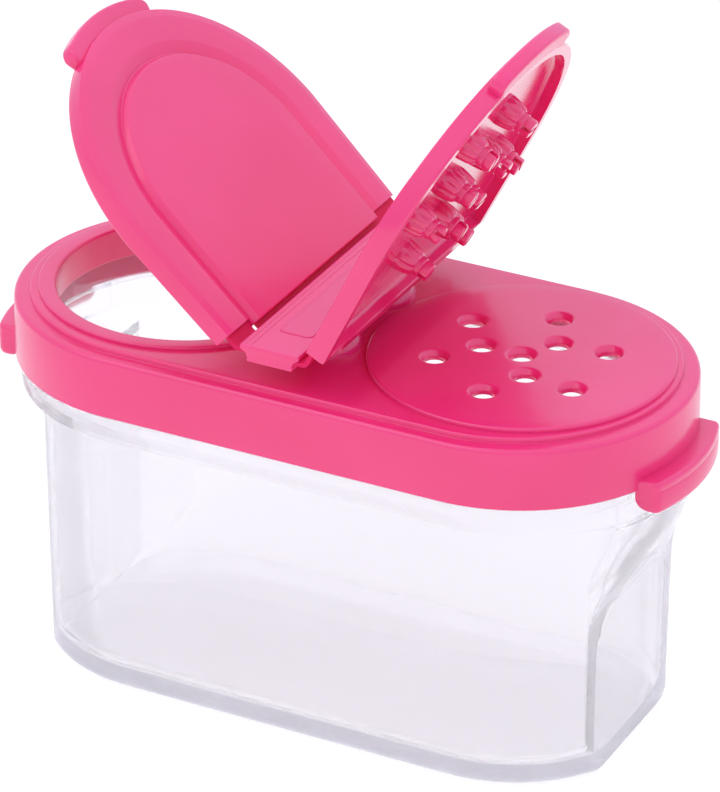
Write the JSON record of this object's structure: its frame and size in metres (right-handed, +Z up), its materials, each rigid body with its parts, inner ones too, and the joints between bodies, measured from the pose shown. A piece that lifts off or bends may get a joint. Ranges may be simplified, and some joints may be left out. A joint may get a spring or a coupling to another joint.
{
  "type": "spice dispenser",
  "caption": "Oval clear spice tub with a press-on cap, a pour opening, a sifter disc and a butterfly lid with two hinged flaps.",
  "frame": {"origin": "on the table under the middle of the cap, centre of the bounding box's bottom face", "axes": "+X along the long side towards the sifter disc, +Y across the short side away from the front, +Z up"},
  "size_m": [0.1028, 0.0484, 0.1001],
  "materials": {
    "pink_plastic": "satin moulded polypropylene",
    "clear_plastic": "clear moulded plastic"
  },
  "bodies": {
    "tub_body": {"tub": "clear_plastic"},
    "cap_body": {"cap_shell": "pink_plastic", "pour_ring": "pink_plastic", "sifter_disc": "pink_plastic", "pull_tab_left": "pink_plastic", "pull_tab_right": "pink_plastic", "lid_post_front": "pink_plastic", "lid_post_back": "pink_plastic", "hinge_strip": "pink_plastic", "hinge_web_pour": "pink_plastic", "hinge_web_shaker": "pink_plastic"},
    "pour_flap_body": {"pour_flap": "pink_plastic", "pour_thumb_tab": "pink_plastic", "pour_seal_ring": "pink_plastic"},
    "shaker_flap_body": {"shaker_flap": "pink_plastic", "shaker_thumb_tab": "pink_plastic", "plug_pin_01": "pink_plastic", "plug_pin_02": "pink_plastic", "plug_pin_03": "pink_plastic", "plug_pin_04": "pink_plastic", "plug_pin_05": "pink_plastic", "plug_pin_06": "pink_plastic", "plug_pin_07": "pink_plastic", "plug_pin_08": "pink_plastic", "plug_pin_09": "pink_plastic", "plug_pin_10": "pink_plastic"}
  },
  "joints": [
    {"name": "cap_lift", "type": "slide", "parent": "tub_body", "child": "cap_body", "axis": [0, 0, 1], "range_m": [0, 0.03]},
    {"name": "pour_hinge", "type": "hinge", "parent": "cap_body", "child": "pour_flap_body", "pos_m": [-0.0048, 0, 0.0595], "axis": [0, 1, 0], "range_deg": [-43.6, 46.4]},
    {"name": "shaker_hinge", "type": "hinge", "parent": "cap_body", "child": "shaker_flap_body", "pos_m": [0.0048, 0, 0.0595], "axis": [0, -1, 0], "range_deg": [-63.2, 26.8]}
  ]
}
